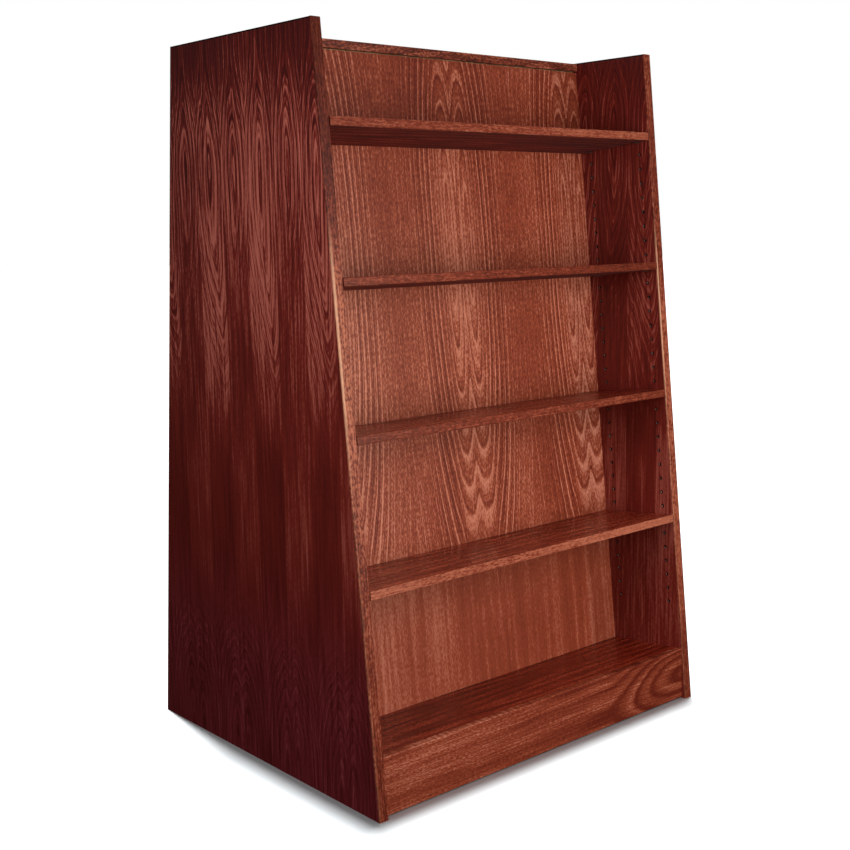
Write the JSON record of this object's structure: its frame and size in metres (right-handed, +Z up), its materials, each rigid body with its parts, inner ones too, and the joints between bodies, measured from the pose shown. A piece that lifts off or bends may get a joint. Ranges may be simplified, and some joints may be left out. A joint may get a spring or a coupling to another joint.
{
  "type": "double-faced slanted display shelving",
  "caption": "Free-standing wooden display shelving with tapered end panels, sloping backs and pull-out adjustable shelves on both faces.",
  "frame": {"origin": "on the floor, under the middle of the case", "axes": "+X along the width, -Y out of the front face, +Z up"},
  "size_m": [0.935, 0.775, 1.461],
  "materials": {
    "end_panel_veneer": "satin lacquer over dark cherry stain, vertical cathedral oak veneer",
    "back_panel_veneer": "satin lacquer over cherry stain, vertical cathedral oak veneer",
    "shelf_veneer": "satin lacquer over dark cherry stain, oak veneer running along the shelf",
    "edge_band": "satin lacquer over cherry stain, solid oak edging with eased arrises",
    "cap_veneer": "satin lacquer over cherry stain, oak running along the cap",
    "kick_veneer": "satin lacquer over cherry stain, oak veneer running along the board",
    "unfinished_wood": "unfinished softwood",
    "dowel_wood": "plain fluted beech",
    "support_bracket": "dark bronze lacquered steel",
    "screw_steel": "bright zinc plate"
  },
  "bodies": {
    "case": {"left_end_panel": "end_panel_veneer", "left_front_edge_band": "edge_band", "left_rear_edge_band": "edge_band", "left_top_edge_band": "edge_band", "right_end_panel": "end_panel_veneer", "right_front_edge_band": "edge_band", "right_rear_edge_band": "edge_band", "right_top_edge_band": "edge_band", "front_back_panel": "back_panel_veneer", "rear_back_panel": "back_panel_veneer", "top_cap": "cap_veneer", "top_rail": "unfinished_wood", "middle_web": "unfinished_wood", "bottom_web": "unfinished_wood", "front_bottom_shelf": "shelf_veneer", "rear_bottom_shelf": "shelf_veneer", "front_kick_board": "kick_veneer", "rear_kick_board": "kick_veneer", "front_kick_blocks": "unfinished_wood", "rear_kick_blocks": "unfinished_wood", "front_shelf_1_supports": "support_bracket", "front_shelf_2_supports": "support_bracket", "front_shelf_3_supports": "support_bracket", "front_shelf_4_supports": "support_bracket", "rear_shelf_1_supports": "support_bracket", "rear_shelf_2_supports": "support_bracket", "rear_shelf_3_supports": "support_bracket", "rear_shelf_4_supports": "support_bracket", "rail_and_web_dowels": "dowel_wood", "bottom_shelf_dowels": "dowel_wood", "kick_board_dowels": "dowel_wood", "cap_dowels": "dowel_wood", "cap_screws": "screw_steel"},
    "front_shelf_1": {"front_shelf_1": "shelf_veneer", "front_shelf_1_edge_band": "edge_band"},
    "front_shelf_2": {"front_shelf_2": "shelf_veneer", "front_shelf_2_edge_band": "edge_band"},
    "front_shelf_3": {"front_shelf_3": "shelf_veneer", "front_shelf_3_edge_band": "edge_band"},
    "front_shelf_4": {"front_shelf_4": "shelf_veneer", "front_shelf_4_edge_band": "edge_band"},
    "rear_shelf_1": {"rear_shelf_1": "shelf_veneer", "rear_shelf_1_edge_band": "edge_band"},
    "rear_shelf_2": {"rear_shelf_2": "shelf_veneer", "rear_shelf_2_edge_band": "edge_band"},
    "rear_shelf_3": {"rear_shelf_3": "shelf_veneer", "rear_shelf_3_edge_band": "edge_band"},
    "rear_shelf_4": {"rear_shelf_4": "shelf_veneer", "rear_shelf_4_edge_band": "edge_band"}
  },
  "joints": [
    {"name": "front_shelf_1_draw", "type": "slide", "parent": "case", "child": "front_shelf_1", "axis": [0, -0.9951, 0.0988], "range_m": [0, 0.22]},
    {"name": "front_shelf_2_draw", "type": "slide", "parent": "case", "child": "front_shelf_2", "axis": [0, -0.9951, 0.0988], "range_m": [0, 0.22]},
    {"name": "front_shelf_3_draw", "type": "slide", "parent": "case", "child": "front_shelf_3", "axis": [0, -0.9951, 0.0988], "range_m": [0, 0.22]},
    {"name": "front_shelf_4_draw", "type": "slide", "parent": "case", "child": "front_shelf_4", "axis": [0, -0.9951, 0.0988], "range_m": [0, 0.22]},
    {"name": "rear_shelf_1_draw", "type": "slide", "parent": "case", "child": "rear_shelf_1", "axis": [0, 0.9951, 0.0988], "range_m": [0, 0.22]},
    {"name": "rear_shelf_2_draw", "type": "slide", "parent": "case", "child": "rear_shelf_2", "axis": [0, 0.9951, 0.0988], "range_m": [0, 0.22]},
    {"name": "rear_shelf_3_draw", "type": "slide", "parent": "case", "child": "rear_shelf_3", "axis": [0, 0.9951, 0.0988], "range_m": [0, 0.22]},
    {"name": "rear_shelf_4_draw", "type": "slide", "parent": "case", "child": "rear_shelf_4", "axis": [0, 0.9951, 0.0988], "range_m": [0, 0.22]}
  ]
}
